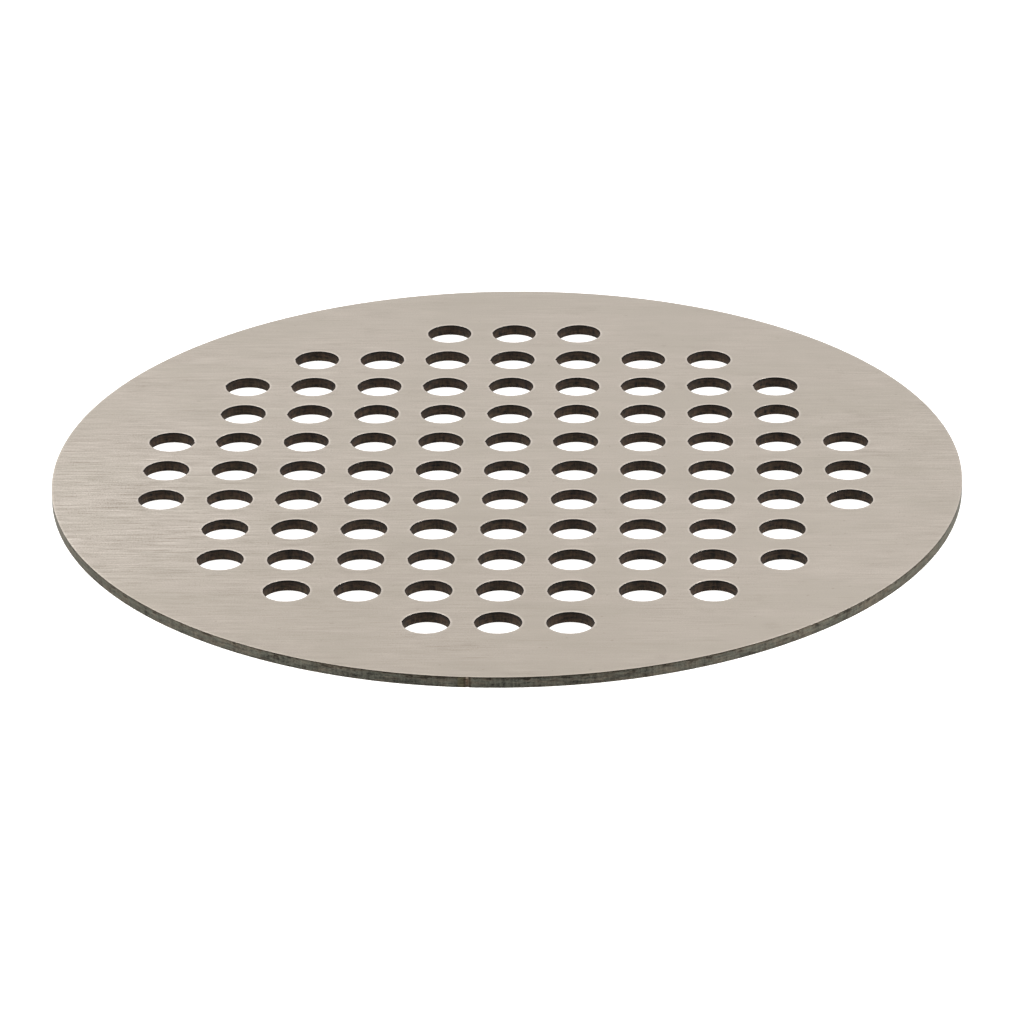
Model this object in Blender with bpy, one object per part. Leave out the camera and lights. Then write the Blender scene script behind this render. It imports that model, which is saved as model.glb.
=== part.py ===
"""Round floor drain grate: one flat disc of stainless steel sheet with a field of drain holes.

The disc drops into the recess of a drain body and rests there on its plain outer band.
Units are metres and +Z is up. The origin is the centre of the underside.
"""

import math

import bmesh
import bpy

INCH = 0.0254

# Driving dimensions. The disc is cut from 16 gauge sheet.
PLATE_DIAMETER = 5.0 * INCH
PLATE_THICKNESS = INCH / 16.0
HOLE_DIAMETER = INCH / 4.0
HOLE_PITCH = 3.0 * INCH / 8.0
RIM_BAND_LEAST = 7.0 * INCH / 16.0

# How finely the round outlines are divided.
PLATE_SIDES = 120
HOLE_SIDES = 24
WELD_DISTANCE = 0.00001
SMOOTH_BELOW = math.radians(30.0)

# Brushed stainless steel.
STEEL_COLOUR = (0.53, 0.48, 0.42, 1.0)
STEEL_ROUGHNESS = 0.38


def clear_scene():
    """Remove every object of the start-up scene."""
    for item in list(bpy.data.objects):
        bpy.data.objects.remove(item, do_unlink=True)


def make_collection(name):
    """Add a collection to the scene."""
    group = bpy.data.collections.new(name)
    bpy.context.scene.collection.children.link(group)
    return group


def brushed_stainless():
    """Bare metal with a satin brushed finish."""
    material = bpy.data.materials.new("brushed_stainless")
    material.use_nodes = True
    shader = material.node_tree.nodes["Principled BSDF"]
    shader.inputs["Base Color"].default_value = STEEL_COLOUR
    shader.inputs["Metallic"].default_value = 1.0
    shader.inputs["Roughness"].default_value = STEEL_ROUGHNESS
    return material


def hole_centres():
    """Centres on a square grid, wherever a hole leaves the full plain band outside it."""
    field_radius = (PLATE_DIAMETER - HOLE_DIAMETER) / 2.0 - RIM_BAND_LEAST
    reach = int(field_radius / HOLE_PITCH)
    centres = []
    for row in range(-reach, reach + 1):
        for column in range(-reach, reach + 1):
            x = column * HOLE_PITCH
            y = row * HOLE_PITCH
            if math.hypot(x, y) <= field_radius:
                centres.append((x, y))
    return centres


def add_circle(outline, centre, radius, sides):
    """Add one closed round spline to a flat outline."""
    spline = outline.splines.new("POLY")
    spline.points.add(sides - 1)
    for index, point in enumerate(spline.points):
        angle = 2.0 * math.pi * index / sides
        x = centre[0] + radius * math.cos(angle)
        y = centre[1] + radius * math.sin(angle)
        point.co = (x, y, 0.0, 1.0)
    spline.use_cyclic_u = True


def perforated_outline():
    """The disc's flat outline with its holes, given the sheet's thickness."""
    outline = bpy.data.curves.new("grate_outline", "CURVE")
    outline.dimensions = "2D"
    outline.fill_mode = "BOTH"
    outline.extrude = PLATE_THICKNESS / 2.0
    add_circle(outline, (0.0, 0.0), PLATE_DIAMETER / 2.0, PLATE_SIDES)
    for centre in hole_centres():
        add_circle(outline, centre, HOLE_DIAMETER / 2.0, HOLE_SIDES)
    return outline


def curve_to_mesh(curve_object, name):
    """Turn a filled curve into one welded mesh, and remove the curve."""
    evaluated = curve_object.evaluated_get(bpy.context.evaluated_depsgraph_get())
    mesh = bpy.data.meshes.new_from_object(evaluated)
    mesh.name = name
    shape = bmesh.new()
    shape.from_mesh(mesh)
    bmesh.ops.remove_doubles(shape, verts=shape.verts, dist=WELD_DISTANCE)
    bmesh.ops.recalc_face_normals(shape, faces=shape.faces)
    shape.to_mesh(mesh)
    shape.free()
    bpy.data.objects.remove(curve_object, do_unlink=True)
    return mesh


def grate_plate(group):
    """The whole grate: a perforated disc standing on its underside."""
    outline_object = bpy.data.objects.new("grate_outline", perforated_outline())
    group.objects.link(outline_object)
    bpy.context.view_layer.update()
    mesh = curve_to_mesh(outline_object, "grate_plate")
    mesh.materials.clear()
    mesh.materials.append(brushed_stainless())
    mesh.shade_smooth()
    mesh.set_sharp_from_angle(angle=SMOOTH_BELOW)
    plate = bpy.data.objects.new("grate_plate", mesh)
    plate.location = (0.0, 0.0, PLATE_THICKNESS / 2.0)
    group.objects.link(plate)
    return plate


def main():
    clear_scene()
    group = make_collection("floor_drain_grate")
    grate_plate(group)


main()
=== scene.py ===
"""Looks of the round floor drain grate: a disc of brushed stainless sheet, cut out by laser.

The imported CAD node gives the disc's place, diameter and thickness. The piece built here has the same
outline and holes with what the CAD leaves out: true round edges, broken corners, the fine ridges of the
laser cut, the small step where each cut begins and ends, and separate finishes for the brushed faces,
the cut rim and the darker walls of the holes.
"""

import math
import random

import bmesh
import bpy
from mathutils import Matrix, Vector, noise
from mathutils.geometry import delaunay_2d_cdt


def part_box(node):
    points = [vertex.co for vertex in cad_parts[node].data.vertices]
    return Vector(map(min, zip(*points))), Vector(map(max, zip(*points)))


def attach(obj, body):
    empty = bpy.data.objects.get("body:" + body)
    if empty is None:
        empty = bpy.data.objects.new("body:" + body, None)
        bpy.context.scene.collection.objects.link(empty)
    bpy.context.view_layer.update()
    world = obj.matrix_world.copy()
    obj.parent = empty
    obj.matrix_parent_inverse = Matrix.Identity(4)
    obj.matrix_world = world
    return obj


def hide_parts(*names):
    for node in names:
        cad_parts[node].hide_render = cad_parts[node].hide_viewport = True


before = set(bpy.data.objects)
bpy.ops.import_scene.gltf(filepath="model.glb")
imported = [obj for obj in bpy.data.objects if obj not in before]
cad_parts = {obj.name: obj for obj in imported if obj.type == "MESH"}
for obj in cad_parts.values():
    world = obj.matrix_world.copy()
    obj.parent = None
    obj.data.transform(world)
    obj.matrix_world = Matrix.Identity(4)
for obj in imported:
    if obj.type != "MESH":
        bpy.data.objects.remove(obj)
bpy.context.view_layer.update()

MM = 0.001
INCH = 0.0254

# The disc, from the frame.
LOW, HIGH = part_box("grate_plate")
CENTRE = (LOW + HIGH) / 2.0
PLATE_RADIUS = (HIGH.x - LOW.x) / 2.0
PLATE_TOP = HIGH.z
PLATE_BOTTOM = LOW.z

# The drain holes, as the CAD has them.
HOLE_RADIUS = INCH / 8.0
HOLE_PITCH = 3.0 * INCH / 8.0
RIM_BAND_LEAST = 7.0 * INCH / 16.0

# How finely the round edges are divided.
RIM_SIDES = 1800
HOLE_SIDES = 72
TOP_CORNER_STEPS = 3
WALL_STEPS = 3
BOTTOM_CORNER_STEPS = 2

# How the triangulation of the flat faces is asked for: its output kind, and the least gap in metres.
FILL_WHOLE_HULL = 0
FILL_EPSILON = 1e-7

# The lip beside each cut: its width, and how bright the painted highlight along it is at the rim and at
# the holes.
LIP_WIDTH = 0.32 * MM
RIM_LIP_HIGHLIGHT = 0.3
HOLE_LIP_HIGHLIGHT = 0.8

# The broken corners.
RIM_TOP_CORNER = 0.04 * MM
HOLE_TOP_CORNER = 0.06 * MM
BOTTOM_CORNER = 0.07 * MM

# The fine ridges that the laser leaves, and how many times longer they are down the cut than across.
RIM_RIDGE_DEPTH = 0.035 * MM
RIM_RIDGE_WIDTH = 0.55 * MM
HOLE_RIDGE_DEPTH = 0.03 * MM
HOLE_RIDGE_WIDTH = 0.7 * MM
RIDGE_STRETCH = 6.0

# The small step where the cut of a hole begins and ends. On most holes it is at the left.
STEP_DEPTH_LEAST = 0.05 * MM
STEP_DEPTH_MOST = 0.2 * MM
STEP_RUN = math.radians(9.0)
STEP_ANGLE = math.pi
STEP_ANGLE_SPREAD = math.radians(7.0)
STEP_ON_OTHER_SIDE_SHARE = 0.08
STEP_SEED = 7

# The mark on the rim where the disc was held in its sheet until it was cut free.
TAB_ANGLE = math.radians(-93.3)
TAB_NOTCH_WIDTH = 0.25 * MM
TAB_NOTCH_DEPTH = 0.1 * MM

# Material slots of the piece.
BRUSHED = 0
CUT_RIM = 1
HOLE_WALL = 2

# A band of the edge has the cut's finish where it drops at least this many times as far as it runs.
CUT_SLOPE_LEAST = 1.2


# ---------------------------------------------------------------- geometry


def hole_centres():
    """Centres on a square grid, wherever a hole leaves the full plain band outside it."""
    field_radius = PLATE_RADIUS - HOLE_RADIUS - RIM_BAND_LEAST
    reach = int(field_radius / HOLE_PITCH)
    steps = range(-reach, reach + 1)
    offsets = [Vector((column * HOLE_PITCH, row * HOLE_PITCH)) for row in steps for column in steps]
    return [CENTRE.xy + offset for offset in offsets if offset.length <= field_radius]


def edge_profile(top_corner, bottom_corner):
    """Points down a cut edge from the top face to the underside: (setback into the metal, height)."""
    points = [(top_corner + LIP_WIDTH, PLATE_TOP)]
    for step in range(TOP_CORNER_STEPS + 1):
        turn = math.pi / 2.0 * step / TOP_CORNER_STEPS
        height = PLATE_TOP - top_corner * (1.0 - math.cos(turn))
        points.append((top_corner * (1.0 - math.sin(turn)), height))
    wall_top = PLATE_TOP - top_corner
    wall_bottom = PLATE_BOTTOM + bottom_corner
    for step in range(1, WALL_STEPS):
        points.append((0.0, wall_top + (wall_bottom - wall_top) * step / WALL_STEPS))
    for step in range(BOTTOM_CORNER_STEPS + 1):
        turn = math.pi / 2.0 * step / BOTTOM_CORNER_STEPS
        height = PLATE_BOTTOM + bottom_corner * (1.0 - math.sin(turn))
        points.append((bottom_corner * (1.0 - math.cos(turn)), height))
    return points


def ridge(point, width):
    """A ridge height from 0 to 1 that changes along the cut and hardly at all down it."""
    sample = Vector((point.x / width, point.y / width, point.z / (RIDGE_STRETCH * width)))
    return 0.5 + 0.5 * noise.noise(sample)


def add_ring(shape, centre, sides, radius_at, setback, height):
    """One closed ring of vertices; radius_at gives the radius for an angle, a height and a setback."""
    ring = []
    for index in range(sides):
        angle = 2.0 * math.pi * index / sides
        radius = radius_at(angle, height, setback)
        x = centre.x + radius * math.cos(angle)
        y = centre.y + radius * math.sin(angle)
        ring.append(shape.verts.new((x, y, height)))
    return ring


def add_band(shape, upper, lower, slot):
    """Quads between two rings."""
    count = len(upper)
    for index in range(count):
        after = (index + 1) % count
        face = shape.faces.new((upper[index], upper[after], lower[after], lower[index]))
        face.material_index = slot
        face.smooth = True


def add_edge(shape, centre, sides, profile, radius_at, cut_slot, lip_highlight):
    """A flat lip and the whole cut edge below it, down to the underside.

    The last argument sets how bright the painted highlight on the lip is at the cut. Returns the first
    ring and the last.
    """
    rings = [add_ring(shape, centre, sides, radius_at, *point) for point in profile]
    # The lip layer holds the painted highlight along each cut.
    lip = shape.verts.layers.float["lip"]
    for ring in rings[1:-1]:
        for corner in ring:
            corner[lip] = lip_highlight
    for index in range(len(profile) - 1):
        run = abs(profile[index + 1][0] - profile[index][0])
        drop = profile[index][1] - profile[index + 1][1]
        slot = cut_slot if drop > CUT_SLOPE_LEAST * run else BRUSHED
        add_band(shape, rings[index], rings[index + 1], slot)
    return rings[0], rings[-1]


def fill_flat(shape, rings):
    """Triangles over a flat face: the metal inside the first ring and outside all the others."""
    corners = []
    polygons = []
    for ring in rings:
        polygons.append(list(range(len(corners), len(corners) + len(ring))))
        corners += ring
    places = [corner.co.xy for corner in corners]
    found = delaunay_2d_cdt(places, [], polygons, FILL_WHOLE_HULL, FILL_EPSILON)
    triangles, corner_sources, polygon_sources = found[2], found[3], found[5]
    for triangle, sources in zip(triangles, polygon_sources):
        if list(sources) == [0]:
            face = shape.faces.new([corners[corner_sources[index][0]] for index in triangle])
            face.material_index = BRUSHED
            face.smooth = False


def turn_between(angle, start):
    """How far an angle lies past a start angle, from -pi to pi."""
    return (angle - start + math.pi) % (2.0 * math.pi) - math.pi


def rim_radius(angle, height, setback):
    """The disc's outline: round, with the ridges of the cut and the small notch of the holding tab."""
    outer = PLATE_RADIUS - setback
    point = Vector((outer * math.cos(angle), outer * math.sin(angle), height))
    across = turn_between(angle, TAB_ANGLE) * PLATE_RADIUS
    notch = TAB_NOTCH_DEPTH * math.exp(-((across / TAB_NOTCH_WIDTH) ** 2))
    return outer - RIM_RIDGE_DEPTH * ridge(point, RIM_RIDGE_WIDTH) - notch


def hole_radius(centre, step_angle, step_depth):
    """A hole's outline: round, with the ridges of the cut and the step where the cut begins and ends."""

    def radius_at(angle, height, setback):
        inner = HOLE_RADIUS + setback
        point = Vector((centre.x + inner * math.cos(angle), centre.y + inner * math.sin(angle), height))
        past = -turn_between(angle, step_angle)
        step = step_depth * math.exp(-past / STEP_RUN) if past >= 0.0 else 0.0
        return inner + HOLE_RIDGE_DEPTH * (ridge(point, HOLE_RIDGE_WIDTH) - 0.5) + step

    return radius_at


def add_rim(shape):
    """The disc's outer edge. Returns its first and last ring."""
    profile = edge_profile(RIM_TOP_CORNER, BOTTOM_CORNER)
    return add_edge(shape, CENTRE, RIM_SIDES, profile, rim_radius, CUT_RIM, RIM_LIP_HIGHLIGHT)


def add_hole(shape, centre, chance):
    """The edge of one drain hole, with its own step. Returns its first and last ring."""
    depth = chance.uniform(STEP_DEPTH_LEAST, STEP_DEPTH_MOST)
    lean = chance.uniform(-STEP_ANGLE_SPREAD, STEP_ANGLE_SPREAD)
    other_side = chance.random() < STEP_ON_OTHER_SIDE_SHARE
    step_angle = (0.0 if other_side else STEP_ANGLE) + lean
    profile = edge_profile(HOLE_TOP_CORNER, BOTTOM_CORNER)
    radius_at = hole_radius(centre, step_angle, depth)
    return add_edge(shape, centre, HOLE_SIDES, profile, radius_at, HOLE_WALL, HOLE_LIP_HIGHLIGHT)


def build_plate():
    """The whole disc as one closed mesh."""
    shape = bmesh.new()
    shape.verts.layers.float.new("lip")
    chance = random.Random(STEP_SEED)
    loops = [add_rim(shape)]
    loops += [add_hole(shape, centre, chance) for centre in hole_centres()]
    fill_flat(shape, [first for first, last in loops])
    fill_flat(shape, [last for first, last in loops])
    bmesh.ops.recalc_face_normals(shape, faces=shape.faces)
    mesh = bpy.data.meshes.new("grate_disc")
    shape.to_mesh(mesh)
    shape.free()
    for material in (brushed_stainless(), cut_rim(), hole_wall()):
        mesh.materials.append(material)
    disc = bpy.data.objects.new("grate_disc", mesh)
    bpy.context.scene.collection.objects.link(disc)
    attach(disc, "root")
    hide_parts("grate_plate")


# ---------------------------------------------------------------- material nodes

# A region mask is at its full strength within this share of its reach; these masks place painted shade
# and painted highlight as well as stronger brushing.
REGION_CORE_SHARE = 0.15


class Nodes:
    """A short way to write one material's node tree."""

    def __init__(self, name):
        self.material = bpy.data.materials.new(name)
        self.material.use_nodes = True
        self.tree = self.material.node_tree
        self.shader = self.tree.nodes["Principled BSDF"]
        self.place = self.tree.nodes.new("ShaderNodeTexCoord").outputs["Object"]

    def put(self, socket, value):
        """Set a socket to a value, or link it to another node's output."""
        if isinstance(value, bpy.types.NodeSocket):
            self.tree.links.new(value, socket)
        else:
            socket.default_value = value

    def math(self, operation, *values):
        """One math node."""
        node = self.tree.nodes.new("ShaderNodeMath")
        node.operation = operation
        for socket, value in zip(node.inputs, values):
            self.put(socket, value)
        return node.outputs[0]

    def vector_math(self, operation, *values):
        """One vector math node."""
        node = self.tree.nodes.new("ShaderNodeVectorMath")
        node.operation = operation
        for socket, value in zip(node.inputs, values):
            self.put(socket, value)
        return node

    def split(self):
        """The X, Y and Z of the place on the object."""
        node = self.tree.nodes.new("ShaderNodeSeparateXYZ")
        self.put(node.inputs[0], self.place)
        return node.outputs

    def grain(self, size, shift=(0.0, 0.0, 0.0), detail=2.0):
        """Noise centred on zero, whose features have the given size along X, Y and Z.

        shift is any offset that sets one grain apart from the others.
        """
        mapping = self.tree.nodes.new("ShaderNodeMapping")
        mapping.inputs["Scale"].default_value = [1.0 / length for length in size]
        mapping.inputs["Location"].default_value = shift
        texture = self.tree.nodes.new("ShaderNodeTexNoise")
        texture.inputs["Scale"].default_value = 1.0
        texture.inputs["Detail"].default_value = detail
        self.put(mapping.inputs["Vector"], self.place)
        self.put(texture.inputs["Vector"], mapping.outputs["Vector"])
        return self.math("SUBTRACT", texture.outputs["Fac"], 0.5)

    def total(self, start, *shares):
        """start plus each (weight, output) share."""
        running = start
        for weight, output in shares:
            running = self.math("ADD", self.math("MULTIPLY", output, weight), running)
        return running

    def ramp(self, value, low, high):
        """0 at low, 1 at high, smooth between them and level beyond them."""
        node = self.tree.nodes.new("ShaderNodeMapRange")
        node.interpolation_type = "SMOOTHSTEP"
        self.put(node.inputs["Value"], value)
        self.put(node.inputs["From Min"], low)
        self.put(node.inputs["From Max"], high)
        return node.outputs["Result"]

    def mix(self, share, first, second):
        """A colour between two colours."""
        node = self.tree.nodes.new("ShaderNodeMix")
        node.data_type = "RGBA"
        self.put(node.inputs["Factor"], share)
        self.put(node.inputs["A"], first)
        self.put(node.inputs["B"], second)
        return node.outputs["Result"]

    def scaled(self, colour, amount):
        """A colour made brighter or darker."""
        node = self.vector_math("SCALE", colour)
        self.put(node.inputs["Scale"], amount)
        return node.outputs["Vector"]

    def added(self, first, second):
        """The sum of two colours."""
        return self.vector_math("ADD", first, second).outputs["Vector"]

    def region_mask(self, x, y, reach):
        """1 round a spot and 0 from reach away. All three are in disc radii, from the disc's centre."""
        spot = CENTRE + Vector((x * PLATE_RADIUS, y * PLATE_RADIUS, 0.0))
        away = self.vector_math("DISTANCE", self.place, spot).outputs["Value"]
        return self.ramp(away, reach * PLATE_RADIUS, REGION_CORE_SHARE * reach * PLATE_RADIUS)

    def height(self):
        """The height above the disc's seat."""
        return self.split()["Z"]

    def angle_from(self, start):
        """The angle round the disc's axis, counted from a start angle."""
        place = self.split()
        x = self.math("SUBTRACT", place["X"], CENTRE.x)
        y = self.math("SUBTRACT", place["Y"], CENTRE.y)
        along = self.total(0.0, (math.cos(start), x), (math.sin(start), y))
        over = self.total(0.0, (-math.sin(start), x), (math.cos(start), y))
        return self.math("ARCTAN2", over, along)

    def bump(self, height, depth):
        """Surface relief of the given depth in metres."""
        node = self.tree.nodes.new("ShaderNodeBump")
        node.inputs["Distance"].default_value = depth
        self.put(node.inputs["Height"], height)
        self.put(self.shader.inputs["Normal"], node.outputs["Normal"])


def streak(length, width):
    """The size of a grain drawn out along X, from millimetres."""
    return (length * MM, width * MM, width * MM)


def cut_grain(width, height):
    """The size of a grain on a cut edge, along the cut and down it, from millimetres."""
    return (width * MM, width * MM, height * MM)


# ---------------------------------------------------------------- brushed faces

WARM_STEEL = (0.446, 0.394, 0.340, 1.0)
COOL_STEEL = (0.439, 0.391, 0.335, 1.0)
STEEL_GLEAM = (0.405, 0.390, 0.375)
STEEL_TINT_RANGE = (-0.2, 0.2)
STEEL_BAND_TINT = 0.6

# The marks in the finish: their sizes, and the noise values between which the sparse ones fade in.
LINE_SIZE = streak(8.0, 0.26)
HAIRLINE_SIZE = streak(2.2, 0.15)
TOOTH_SIZE = streak(0.2, 0.2)
GROOVE_SIZE = streak(9.0, 0.2)
GLINT_SIZE = streak(7.0, 0.2)
GROOVE_RANGE = (0.1, 0.2)
BAND_SIZE = streak(45.0, 2.6)
CLOUD_SIZE = streak(16.0, 9.0)
SCRATCH_SIZE = streak(7.0, 0.22)
SCRATCH_RANGE = (0.2, 0.27)
SMUDGE_SIZE = streak(6.5, 4.5)
SMUDGE_RANGE = (0.1, 0.24)
SPECK_SIZE = streak(0.7, 0.7)
SPECK_RANGE = (0.3, 0.36)

# The regions of the disc that look different: x, y and reach, in disc radii.
# At the left end the top is painted lighter and its brush marks stronger: painted highlight and painted
# glints.
LEFT_END = (-0.97, -0.22, 0.6)
RIGHT_END = (1.0, 0.15, 0.55)
LEFT_HALF = (-1.0, 0.0, 1.4)
# Across the front the top is painted darker: painted shade.
FRONT_PAINTED_SHADE = (-0.15, -1.0, 1.1)

# How strong the brushing is: everywhere, and added in some regions and by some marks.
BRUSHING_LEAST = 1.1
# Painted glints: the brush marks show stronger at the left end.
PAINTED_GLINT_LEFT_END = 2.4
BRUSHING_RIGHT_END = 1.1
BRUSHING_LEFT_HALF = 1.2
BRUSHING_CLOUDS = 3.4
BRUSHING_SMUDGES = 0.5

# What each mark adds to the gleam: first the parts of the brushing, then everything else.
LINE_GLEAM = 0.22
HAIRLINE_GLEAM = 0.16
TOOTH_GLEAM = 0.14
GROOVE_GLEAM = -0.026
GLINT_GLEAM = 0.022
BAND_GLEAM = 0.10
CLOUD_GLEAM = 0.08
SMUDGE_GLEAM = -0.045
SCRATCH_GLEAM = -0.10
SPECK_GLEAM = -0.12
# Painted highlight along the lip of each cut.
LIP_PAINTED_HIGHLIGHT = 0.32
# Painted shade across the front of the top face.
FRONT_PAINTED_SHADE_GLEAM = -0.075
# Painted highlight at the left end of the top face.
LEFT_END_PAINTED_HIGHLIGHT = 0.05

STEEL_ROUGHNESS = 0.42
LINE_ROUGHNESS = 0.15
SCRATCH_ROUGHNESS = 0.1
STEEL_RELIEF_DEPTH = 0.004 * MM
HAIRLINE_RELIEF = 0.5
SCRATCH_RELIEF = -0.6


def brushed_stainless():
    """Satin stainless: brush lines along X, broad faint bands, cloudy wiping marks, a few scratches,
    painted shade across the front, and painted highlight at the left end and along the cuts.
    """
    nodes = Nodes("brushed_stainless")
    lines = nodes.grain(LINE_SIZE, detail=1.0)
    hairlines = nodes.grain(HAIRLINE_SIZE, shift=(3.0, 5.0, 0.0), detail=1.0)
    tooth = nodes.grain(TOOTH_SIZE, shift=(9.0, 2.0, 0.0), detail=0.0)
    grooves = nodes.ramp(nodes.grain(GROOVE_SIZE, shift=(13.0, 3.0, 0.0), detail=1.0), *GROOVE_RANGE)
    glints = nodes.ramp(nodes.grain(GLINT_SIZE, shift=(17.0, 6.0, 0.0), detail=1.0), *GROOVE_RANGE)
    bands = nodes.grain(BAND_SIZE, shift=(7.0, 1.0, 0.0))
    clouds = nodes.grain(CLOUD_SIZE, shift=(2.0, 9.0, 0.0), detail=3.0)
    scratches = nodes.ramp(nodes.grain(SCRATCH_SIZE, shift=(11.0, 4.0, 0.0), detail=1.0), *SCRATCH_RANGE)
    smudges = nodes.ramp(nodes.grain(SMUDGE_SIZE, shift=(4.0, 6.0, 0.0)), *SMUDGE_RANGE)
    specks = nodes.ramp(nodes.grain(SPECK_SIZE, shift=(1.0, 8.0, 0.0), detail=0.0), *SPECK_RANGE)
    # The painted highlight along each cut, read from the lip layer.
    lip = nodes.tree.nodes.new("ShaderNodeAttribute")
    lip.attribute_name = "lip"
    left_end = nodes.region_mask(*LEFT_END)

    strength = nodes.total(
        BRUSHING_LEAST,
        (PAINTED_GLINT_LEFT_END, left_end),
        (BRUSHING_RIGHT_END, nodes.region_mask(*RIGHT_END)),
        (BRUSHING_LEFT_HALF, nodes.region_mask(*LEFT_HALF)),
        (BRUSHING_CLOUDS, clouds),
        (BRUSHING_SMUDGES, smudges),
    )
    fibres = nodes.total(
        0.0,
        (LINE_GLEAM, lines),
        (HAIRLINE_GLEAM, hairlines),
        (TOOTH_GLEAM, tooth),
        (GROOVE_GLEAM, grooves),
        (GLINT_GLEAM, glints),
    )
    gleam = nodes.total(
        nodes.math("MULTIPLY", strength, fibres),
        (BAND_GLEAM, bands),
        (CLOUD_GLEAM, clouds),
        (SMUDGE_GLEAM, smudges),
        (SCRATCH_GLEAM, scratches),
        (SPECK_GLEAM, specks),
        (LIP_PAINTED_HIGHLIGHT, lip.outputs["Fac"]),
        (FRONT_PAINTED_SHADE_GLEAM, nodes.region_mask(*FRONT_PAINTED_SHADE)),
        (LEFT_END_PAINTED_HIGHLIGHT, left_end),
    )
    tint = nodes.ramp(nodes.total(clouds, (STEEL_BAND_TINT, bands)), *STEEL_TINT_RANGE)
    colour = nodes.added(nodes.mix(tint, COOL_STEEL, WARM_STEEL), nodes.scaled(STEEL_GLEAM, gleam))
    roughness = nodes.total(
        STEEL_ROUGHNESS,
        (LINE_ROUGHNESS, lines),
        (LINE_ROUGHNESS, hairlines),
        (SCRATCH_ROUGHNESS, scratches),
    )
    nodes.put(nodes.shader.inputs["Base Color"], colour)
    nodes.put(nodes.shader.inputs["Roughness"], roughness)
    nodes.put(nodes.shader.inputs["Metallic"], 1.0)
    relief = nodes.total(lines, (HAIRLINE_RELIEF, hairlines), (SCRATCH_RELIEF, scratches))
    nodes.bump(relief, STEEL_RELIEF_DEPTH)
    return nodes.material


# ---------------------------------------------------------------- cut rim

RIM_GREY = (0.0506, 0.0500, 0.0395, 1.0)
RIM_BROWN = (0.0495, 0.0425, 0.0320, 1.0)
RIM_SCORCH = (0.032, 0.022, 0.014, 1.0)
RIM_SHEEN = (0.6, 0.58, 0.52, 1.0)

# The marks on the rim: their sizes, and the noise values between which the spots fade in.
RIM_LAYER_SIZE = cut_grain(2.4, 0.26)
RIM_UPRIGHT_SIZE = cut_grain(0.45, 6.0)
RIM_FINE_SIZE = cut_grain(0.22, 0.22)
RIM_PATCH_SIZE = cut_grain(6.0, 2.0)
RIM_BLOTCH_SIZE = cut_grain(1.3, 0.5)
RIM_SPOT_RANGE = (0.04, 0.16)
# The rim is painted darker across the front: painted shade.
RIM_FRONT_PAINTED_SHADE = (0.0, -1.0, 0.5)

# How bright the rim is, and what each mark adds to that.
RIM_LEVEL = 1.03
RIM_LAYER_LEVEL = 2.0
RIM_UPRIGHT_LEVEL = 1.2
RIM_FINE_LEVEL = 1.8
RIM_PATCH_LEVEL = 0.8
RIM_SPOT_LEVEL = -0.25
# Painted shade across the front of the rim.
RIM_FRONT_SHADE_LEVEL = -0.25

# Which marks turn the rim from grey to brown.
RIM_PATCH_HUE = 0.6
RIM_LAYER_HUE = 0.5
RIM_BLOTCH_HUE = 0.8
RIM_HUE_RANGE = (-0.12, 0.18)

# The scorched zone along the top of the rim, and the burnt line at its upper edge.
SCORCH_RANGE = (PLATE_TOP - 0.4 * MM, PLATE_TOP - 0.12 * MM)
SCORCH_SHARE = 0.45
SCORCH_LAYER_WAVE = 0.5 * MM
SCORCH_SPOT_WAVE = 0.35 * MM
RIM_BURNT_RANGE = (PLATE_TOP - 0.26 * MM, PLATE_TOP - 0.06 * MM)
RIM_BURNT_LOSS = -0.5

RIM_ROUGHNESS = 0.52
RIM_FINE_ROUGHNESS = 0.3
RIM_METALLIC = 0.6
RIM_SPECULAR = 0.25
RIM_RELIEF_DEPTH = 0.02 * MM
RIM_UPRIGHT_RELIEF = 0.5
RIM_FINE_RELIEF = 0.6

# The tab mark: olive tint on one side, a dark line each side of the notch, brighter torn metal in it.
TAB_OLIVE = (0.050, 0.042, 0.022, 1.0)
TAB_DARK = (0.026, 0.017, 0.009, 1.0)
TAB_BROWN = (0.073, 0.048, 0.030, 1.0)
TAB_TORN = (0.230, 0.186, 0.144, 1.0)
TAB_WAVE = 0.2 * MM
TAB_OLIVE_START = (-1.5 * MM, -1.0 * MM)
TAB_OLIVE_END = (-0.2 * MM, -0.4 * MM)
TAB_OLIVE_SHARE = 0.7
TAB_LINE_OFFSET = 0.34 * MM
TAB_LINE_FADE = (0.2 * MM, 0.06 * MM)
TAB_LINE_SHARE = 0.75
TAB_INSIDE_FADE = (0.208 * MM, 0.112 * MM)
TAB_INSIDE_SHARE = 0.8
TAB_TORN_RANGE = (PLATE_TOP - 0.42 * MM, PLATE_TOP - 0.1 * MM)


def tab_marked(nodes, colour, fine):
    """The rim's colour with the tab mark on it."""
    across = nodes.math("MULTIPLY", nodes.angle_from(TAB_ANGLE), PLATE_RADIUS)
    across = nodes.total(across, (TAB_WAVE, fine))
    away = nodes.math("ABSOLUTE", across)
    beside = nodes.math("ABSOLUTE", nodes.math("SUBTRACT", away, TAB_LINE_OFFSET))
    olive_starts = nodes.ramp(across, *TAB_OLIVE_START)
    olive = nodes.math("MULTIPLY", olive_starts, nodes.ramp(across, *TAB_OLIVE_END))
    line = nodes.ramp(beside, *TAB_LINE_FADE)
    inside = nodes.ramp(away, *TAB_INSIDE_FADE)
    torn = nodes.math("MULTIPLY", inside, nodes.ramp(nodes.height(), *TAB_TORN_RANGE))
    colour = nodes.mix(nodes.math("MULTIPLY", olive, TAB_OLIVE_SHARE), colour, TAB_OLIVE)
    colour = nodes.mix(nodes.math("MULTIPLY", line, TAB_LINE_SHARE), colour, TAB_DARK)
    colour = nodes.mix(nodes.math("MULTIPLY", inside, TAB_INSIDE_SHARE), colour, TAB_BROWN)
    return nodes.mix(torn, colour, TAB_TORN)


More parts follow.
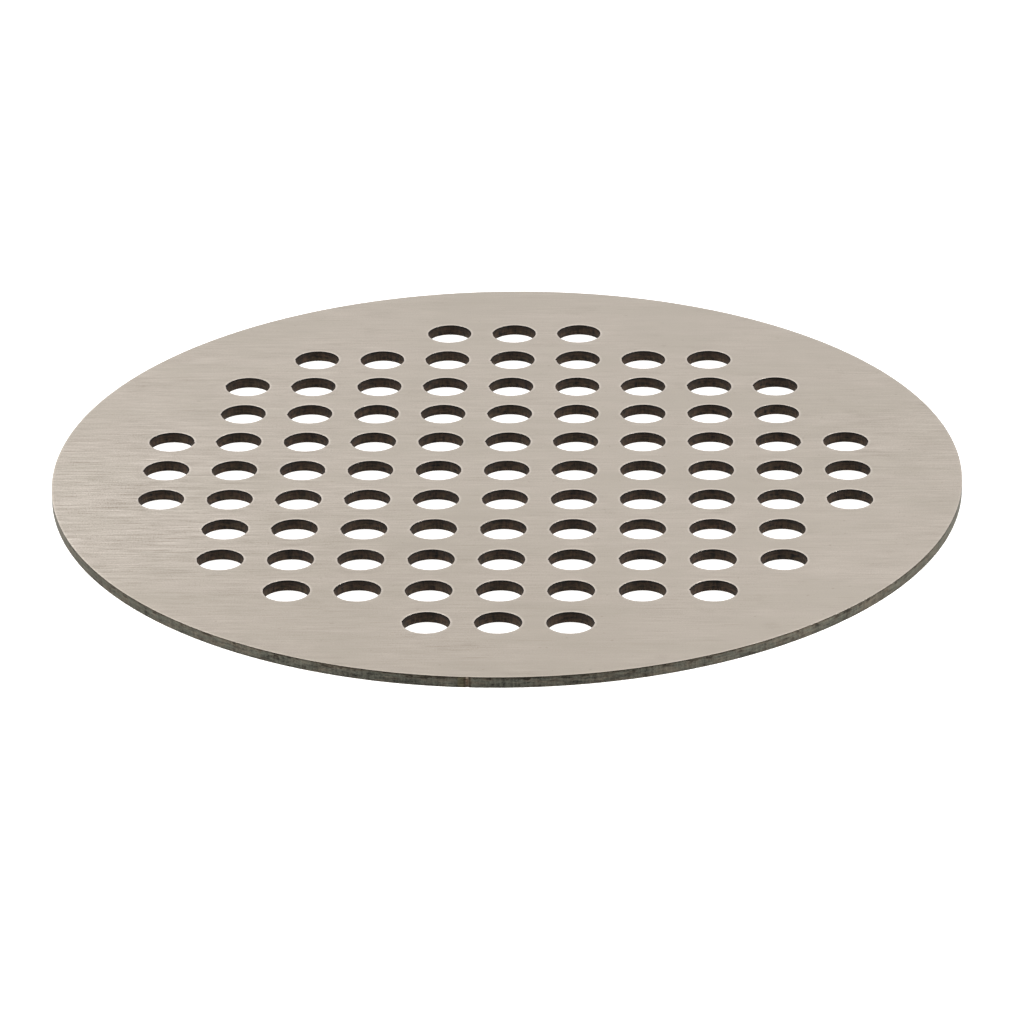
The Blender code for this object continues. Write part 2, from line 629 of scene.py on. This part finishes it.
def cut_rim():
    """The laser-cut outer edge: dull grey-green metal in fine layers, scorched along the top, with
    painted shade across the front.
    """
    nodes = Nodes("laser_cut_rim")
    layers = nodes.grain(RIM_LAYER_SIZE, shift=(2.0, 7.0, 3.0))
    uprights = nodes.grain(RIM_UPRIGHT_SIZE, detail=3.0)
    fine = nodes.grain(RIM_FINE_SIZE, shift=(5.0, 2.0, 1.0))
    patches = nodes.grain(RIM_PATCH_SIZE, shift=(4.0, 4.0, 2.0))
    blotches = nodes.grain(RIM_BLOTCH_SIZE, shift=(7.0, 7.0, 5.0))
    spots = nodes.ramp(blotches, *RIM_SPOT_RANGE)

    hue = nodes.total(0.0, (RIM_PATCH_HUE, patches), (RIM_LAYER_HUE, layers), (RIM_BLOTCH_HUE, blotches))
    colour = nodes.mix(nodes.ramp(hue, *RIM_HUE_RANGE), RIM_GREY, RIM_BROWN)
    waved_height = nodes.total(nodes.height(), (SCORCH_LAYER_WAVE, layers), (SCORCH_SPOT_WAVE, spots))
    scorched = nodes.ramp(waved_height, *SCORCH_RANGE)
    colour = nodes.mix(nodes.math("MULTIPLY", scorched, SCORCH_SHARE), colour, RIM_SCORCH)
    colour = tab_marked(nodes, colour, fine)

    level = nodes.total(
        RIM_LEVEL,
        (RIM_LAYER_LEVEL, layers),
        (RIM_UPRIGHT_LEVEL, uprights),
        (RIM_FINE_LEVEL, fine),
        (RIM_PATCH_LEVEL, patches),
        (RIM_SPOT_LEVEL, spots),
        (RIM_FRONT_SHADE_LEVEL, nodes.region_mask(*RIM_FRONT_PAINTED_SHADE)),
    )
    dark_top_line = nodes.ramp(waved_height, *RIM_BURNT_RANGE)
    level = nodes.math("MULTIPLY", level, nodes.total(1.0, (RIM_BURNT_LOSS, dark_top_line)))
    nodes.put(nodes.shader.inputs["Base Color"], nodes.scaled(colour, level))
    nodes.put(nodes.shader.inputs["Roughness"], nodes.total(RIM_ROUGHNESS, (RIM_FINE_ROUGHNESS, fine)))
    nodes.put(nodes.shader.inputs["Metallic"], RIM_METALLIC)
    nodes.put(nodes.shader.inputs["Specular IOR Level"], RIM_SPECULAR)
    nodes.put(nodes.shader.inputs["Specular Tint"], RIM_SHEEN)
    relief = nodes.total(layers, (RIM_UPRIGHT_RELIEF, uprights), (RIM_FINE_RELIEF, fine))
    nodes.bump(relief, RIM_RELIEF_DEPTH)
    return nodes.material


# ---------------------------------------------------------------- hole walls

# The walls' dark brown is partly the oxide of the cut and partly painted shade of the narrow holes.
WALL_BROWN = (0.0259, 0.0156, 0.0094, 1.0)
WALL_OLIVE = (0.0230, 0.0155, 0.0088, 1.0)
WALL_TOP_SHADE = (0.0090, 0.0048, 0.0028, 1.0)

# The marks on the walls.
WALL_LAYER_SIZE = cut_grain(1.4, 0.2)
WALL_UPRIGHT_SIZE = cut_grain(0.25, 1.6)
WALL_PATCH_SIZE = cut_grain(0.6, 0.45)
WALL_HUE_SIZE = cut_grain(1.5, 0.8)
WALL_HUE_RANGE = (-0.1, 0.1)

# How bright the walls are, and what each mark adds to that.
WALL_LEVEL = 1.05
WALL_LAYER_LEVEL = 2.6
WALL_UPRIGHT_LEVEL = 2.2
WALL_PATCH_LEVEL = 2.8

# Painted shade that thickens towards the top, and a darker line of painted shade under the upper edge.
WALL_TOP_SHADE_RANGE = (PLATE_TOP - 1.2 * MM, PLATE_TOP - 0.05 * MM)
WALL_TOP_SHADE_WAVE = 0.5 * MM
WALL_TOP_LINE_SHADE_RANGE = (PLATE_TOP - 0.36 * MM, PLATE_TOP - 0.18 * MM)
WALL_TOP_LINE_SHADE_LOSS = -0.8

WALL_ROUGHNESS = 0.66
WALL_PATCH_ROUGHNESS = 0.3
WALL_SPECULAR = 0.12
WALL_RELIEF_DEPTH = 0.03 * MM
WALL_UPRIGHT_RELIEF = 0.8
WALL_PATCH_RELIEF = 0.5


def hole_wall():
    """The walls of the holes: dark brown, partly the oxide of the cut and partly painted shade, with
    lines along and down the cut and painted shade thickening towards the top.
    """
    nodes = Nodes("hole_wall_oxide_and_painted_shade")
    layers = nodes.grain(WALL_LAYER_SIZE)
    uprights = nodes.grain(WALL_UPRIGHT_SIZE, shift=(3.0, 1.0, 0.0))
    patches = nodes.grain(WALL_PATCH_SIZE, shift=(6.0, 2.0, 0.0))
    hues = nodes.grain(WALL_HUE_SIZE, shift=(8.0, 5.0, 0.0))
    height = nodes.height()

    brown = nodes.mix(nodes.ramp(hues, *WALL_HUE_RANGE), WALL_BROWN, WALL_OLIVE)
    # Painted shade thickening towards the top of the wall.
    top_shade = nodes.ramp(nodes.total(height, (WALL_TOP_SHADE_WAVE, patches)), *WALL_TOP_SHADE_RANGE)
    colour = nodes.mix(top_shade, brown, WALL_TOP_SHADE)
    level = nodes.total(
        WALL_LEVEL,
        (WALL_LAYER_LEVEL, layers),
        (WALL_UPRIGHT_LEVEL, uprights),
        (WALL_PATCH_LEVEL, patches),
    )
    # A darker line of painted shade under the upper edge.
    dark_top_line = nodes.ramp(height, *WALL_TOP_LINE_SHADE_RANGE)
    level = nodes.math("MULTIPLY", level, nodes.total(1.0, (WALL_TOP_LINE_SHADE_LOSS, dark_top_line)))
    nodes.put(nodes.shader.inputs["Base Color"], nodes.scaled(colour, level))
    roughness = nodes.total(WALL_ROUGHNESS, (WALL_PATCH_ROUGHNESS, patches))
    nodes.put(nodes.shader.inputs["Roughness"], roughness)
    nodes.put(nodes.shader.inputs["Metallic"], 0.0)
    nodes.put(nodes.shader.inputs["Specular IOR Level"], WALL_SPECULAR)
    relief = nodes.total(layers, (WALL_UPRIGHT_RELIEF, uprights), (WALL_PATCH_RELIEF, patches))
    nodes.bump(relief, WALL_RELIEF_DEPTH)
    return nodes.material


# ---------------------------------------------------------------- stage

FLOOR_RADIUS = 3.0
FLOOR_SIDES = 96
FLOOR_GAP = 0.05 * MM
FLOOR_COLOUR = (0.86, 0.86, 0.86)
FLOOR_MOTTLE_SIZE = (0.4, 0.4, 0.4)
FLOOR_MOTTLE = 0.02
FLOOR_ROUGHNESS = 0.9
FLOOR_SPECULAR = 0.1
FLOOR_GLOW = 0.75
WHITE = (1.0, 1.0, 1.0, 1.0)


def floor_material():
    """A pale translucent table top, lit softly from below as for a catalogue picture."""
    nodes = Nodes("pale_table")
    mottle = nodes.grain(FLOOR_MOTTLE_SIZE, detail=1.0)
    colour = nodes.scaled(FLOOR_COLOUR, nodes.total(1.0, (FLOOR_MOTTLE, mottle)))
    nodes.put(nodes.shader.inputs["Base Color"], colour)
    nodes.put(nodes.shader.inputs["Roughness"], FLOOR_ROUGHNESS)
    nodes.put(nodes.shader.inputs["Specular IOR Level"], FLOOR_SPECULAR)
    nodes.put(nodes.shader.inputs["Emission Color"], WHITE)
    nodes.put(nodes.shader.inputs["Emission Strength"], FLOOR_GLOW)
    return nodes.material


def build_floor():
    """A wide pale floor that the disc lies on."""
    shape = bmesh.new()
    bmesh.ops.create_circle(shape, cap_ends=True, segments=FLOOR_SIDES, radius=FLOOR_RADIUS)
    mesh = bpy.data.meshes.new("floor")
    shape.to_mesh(mesh)
    shape.free()
    mesh.materials.append(floor_material())
    floor = bpy.data.objects.new("floor", mesh)
    floor.location = (CENTRE.x, CENTRE.y, PLATE_BOTTOM - FLOOR_GAP)
    bpy.context.scene.collection.objects.link(floor)


# The light tent's opening is in front. It fades in with how squarely a direction points there.
TENT_OPENING = (0.60, 0.60, 0.60, 1.0)
TENT_FRONT = (0.0, -1.0, 0.0)
TENT_OPENING_EDGE = 0.05
TENT_OPENING_FULL = 0.9


def build_world():
    """A white light tent round the disc, open and darker in front, where the camera stands."""
    world = bpy.data.worlds.new("light_tent")
    world.use_nodes = True
    nodes = world.node_tree.nodes
    links = world.node_tree.links
    direction = nodes.new("ShaderNodeTexCoord")
    facing = nodes.new("ShaderNodeVectorMath")
    facing.operation = "DOT_PRODUCT"
    facing.inputs[1].default_value = TENT_FRONT
    opening = nodes.new("ShaderNodeMapRange")
    opening.interpolation_type = "SMOOTHSTEP"
    opening.inputs["From Min"].default_value = TENT_OPENING_EDGE
    opening.inputs["From Max"].default_value = TENT_OPENING_FULL
    mix = nodes.new("ShaderNodeMix")
    mix.data_type = "RGBA"
    mix.inputs["A"].default_value = WHITE
    mix.inputs["B"].default_value = TENT_OPENING
    links.new(direction.outputs["Generated"], facing.inputs[0])
    links.new(facing.outputs["Value"], opening.inputs["Value"])
    links.new(opening.outputs["Result"], mix.inputs["Factor"])
    links.new(mix.outputs["Result"], nodes["Background"].inputs["Color"])
    bpy.context.scene.world = world


def add_softbox(name, place, size, power):
    """A square area light that faces the disc. place is in metres from the disc's centre."""
    light = bpy.data.lights.new(name, "AREA")
    light.shape = "SQUARE"
    light.size = size
    light.energy = power
    lamp = bpy.data.objects.new(name, light)
    lamp.location = CENTRE + Vector(place)
    lamp.rotation_euler = (CENTRE - lamp.location).to_track_quat("-Z", "Y").to_euler()
    lamp.visible_camera = False
    bpy.context.scene.collection.objects.link(lamp)


def build_lights():
    """Soft light from above, and from low at both sides for the rim."""
    add_softbox("overhead_softbox", place=(0.0, 0.3, 1.2), size=1.0, power=4.0)
    add_softbox("back_left_softbox", place=(-0.48, 0.68, 0.38), size=0.45, power=0.8)
    add_softbox("right_softbox", place=(0.64, -0.22, 0.12), size=0.30, power=7.0)
    add_softbox("left_softbox", place=(-0.61, -0.30, 0.13), size=0.30, power=5.0)


# The camera looks down on the disc from in front, a long way off, and is turned very slightly.
CAMERA_AIM = (1.0 * MM, -12.0 * MM, 0.0)
CAMERA_DISTANCE = 767.5 * MM
CAMERA_HEADING = math.radians(-1.608)
CAMERA_ELEVATION = math.radians(25.42)
CAMERA_ROLL = math.radians(-0.725)
CAMERA_LENS_MM = 195.7
CAMERA_NEAREST = 0.05
CAMERA_FARTHEST = 20.0
SENSOR_WIDTH_MM = 36.0


def build_camera():
    """The camera, from its heading, elevation, roll and distance."""
    level = math.cos(CAMERA_ELEVATION)
    ahead = Vector((
        math.sin(CAMERA_HEADING) * level,
        math.cos(CAMERA_HEADING) * level,
        -math.sin(CAMERA_ELEVATION),
    ))
    side = Vector((math.cos(CAMERA_HEADING), -math.sin(CAMERA_HEADING), 0.0))
    up = side.cross(ahead)
    right = side * math.cos(CAMERA_ROLL) + up * math.sin(CAMERA_ROLL)
    up = right.cross(ahead)
    place = CENTRE + Vector(CAMERA_AIM) - ahead * CAMERA_DISTANCE
    data = bpy.data.cameras.new("camera")
    data.lens = CAMERA_LENS_MM
    data.sensor_width = SENSOR_WIDTH_MM
    data.clip_start = CAMERA_NEAREST
    data.clip_end = CAMERA_FARTHEST
    camera = bpy.data.objects.new("camera", data)
    turn = Matrix((right, up, -ahead)).transposed()
    camera.matrix_world = Matrix.Translation(place) @ turn.to_4x4()
    bpy.context.scene.collection.objects.link(camera)
    bpy.context.scene.camera = camera


def main():
    build_camera()
    build_world()
    build_floor()
    build_lights()
    build_plate()
    bpy.context.scene.view_settings.view_transform = "Standard"


main()
